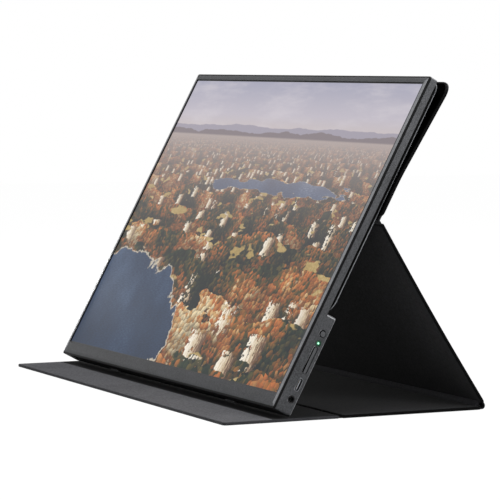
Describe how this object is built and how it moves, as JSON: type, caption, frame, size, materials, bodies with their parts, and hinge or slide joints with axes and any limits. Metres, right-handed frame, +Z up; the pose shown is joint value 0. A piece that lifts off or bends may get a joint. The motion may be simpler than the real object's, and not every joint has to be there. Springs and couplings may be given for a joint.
{
  "type": "portable monitor with folding cover",
  "caption": "Slim portable monitor leaning on its folding cover, which makes a strut behind it and a base under it.",
  "frame": {"origin": "middle of the footprint, on the table surface under the base", "axes": "+Z up, +X to the right of someone facing the screen, -Y towards the viewer, so the face leans back towards +Y"},
  "size_m": [0.3594, 0.186, 0.2127],
  "materials": {
    "frame_metal": "fine bead-blasted dark grey anodising",
    "housing_metal": "satin dark grey bead-blasted anodising",
    "plate_plastic": "fine matt black mould texture",
    "display_glass": "anti-glare coated display, lit from behind",
    "optical_film": "white matt film",
    "acrylic": "clear acrylic",
    "led_strip": "white strip with pale yellow emitters",
    "tray_steel": "plain zinc-coated sheet",
    "magnet_nickel": "nickel plate",
    "circuit_board": "green solder mask",
    "chip_plastic": "black moulded epoxy",
    "ribbon_film": "amber film",
    "socket_steel": "plain stainless shell",
    "jack_plastic": "black moulded plastic",
    "switch_metal": "plated cap",
    "pin_steel": "ground pin",
    "speaker_plastic": "black moulded plastic",
    "foot_rubber": "matt grey rubber",
    "screw_black": "black oxide",
    "button_plastic": "satin dark plastic",
    "cover_skin": "fine-grained black coated fabric",
    "stiffener": "pressed fibre board",
    "cover_lining": "short-napped black microfibre",
    "flap_lining": "short-napped grey microfibre",
    "status_light": "clear green light pipe, lit"
  },
  "bodies": {
    "base": {"base_skin": "cover_skin", "base_board": "stiffener", "base_lining": "cover_lining", "rear_fold_strip": "cover_skin", "crease_strip": "cover_lining"},
    "front_flap": {"flap_skin": "cover_skin", "flap_board": "stiffener", "flap_lining": "flap_lining"},
    "strut": {"strut_skin": "cover_skin", "strut_board": "stiffener", "strut_lining": "cover_lining"},
    "monitor": {"front_frame": "frame_metal", "lcd_panel": "display_glass", "diffuser_films": "optical_film", "light_guide": "acrylic", "reflector_sheet": "optical_film", "led_bar": "led_strip", "panel_tray": "tray_steel", "rear_shell": "housing_metal", "rear_plate": "plate_plastic", "plate_magnets": "magnet_nickel", "main_board": "circuit_board", "board_chips": "chip_plastic", "board_screws": "screw_black", "display_ribbon": "ribbon_film", "usb_c_socket": "socket_steel", "headphone_jack": "jack_plastic", "power_switch": "switch_metal", "rocker_switches": "switch_metal", "rocker_pin": "pin_steel", "light_pipe": "status_light", "left_speaker": "speaker_plastic", "right_speaker": "speaker_plastic", "rubber_feet": "foot_rubber", "upper_skin": "cover_skin", "upper_board": "stiffener", "upper_lining": "cover_lining", "cover_magnets": "magnet_nickel", "upper_fold_strip": "cover_skin"},
    "power_button": {"power_button": "button_plastic"},
    "rocker_key": {"rocker_key": "button_plastic"}
  },
  "joints": [
    {"name": "rear_fold", "type": "hinge", "parent": "base", "child": "strut", "pos_m": [0, 0.09195, 0.00105], "axis": [-1, 0, 0], "range_deg": [0, 118]},
    {"name": "upper_fold", "type": "hinge", "parent": "strut", "child": "monitor", "pos_m": [0, 0.01461, 0.12276], "axis": [1, 0, 0], "range_deg": [0, 57]},
    {"name": "front_crease", "type": "hinge", "parent": "base", "child": "front_flap", "pos_m": [0, -0.014, 0.00225], "axis": [-1, 0, 0], "range_deg": [0, 172]},
    {"name": "power_press", "type": "slide", "parent": "monitor", "child": "power_button", "axis": [-1, 0, 0], "range_m": [0, 0.00035], "stiffness_N_per_m": 1500},
    {"name": "key_rock", "type": "hinge", "parent": "monitor", "child": "rocker_key", "pos_m": [0.1734, -0.03327, 0.03723], "axis": [0, 0.8809, -0.4733], "range_deg": [-1.2, 1.2], "stiffness_Nm_per_rad": 0.15}
  ],
  "couplings": [
    {"joint": "upper_fold", "follows": "rear_fold", "ratio": 0.482},
    {"joint": "front_crease", "follows": "rear_fold", "ratio": 1.45}
  ]
}
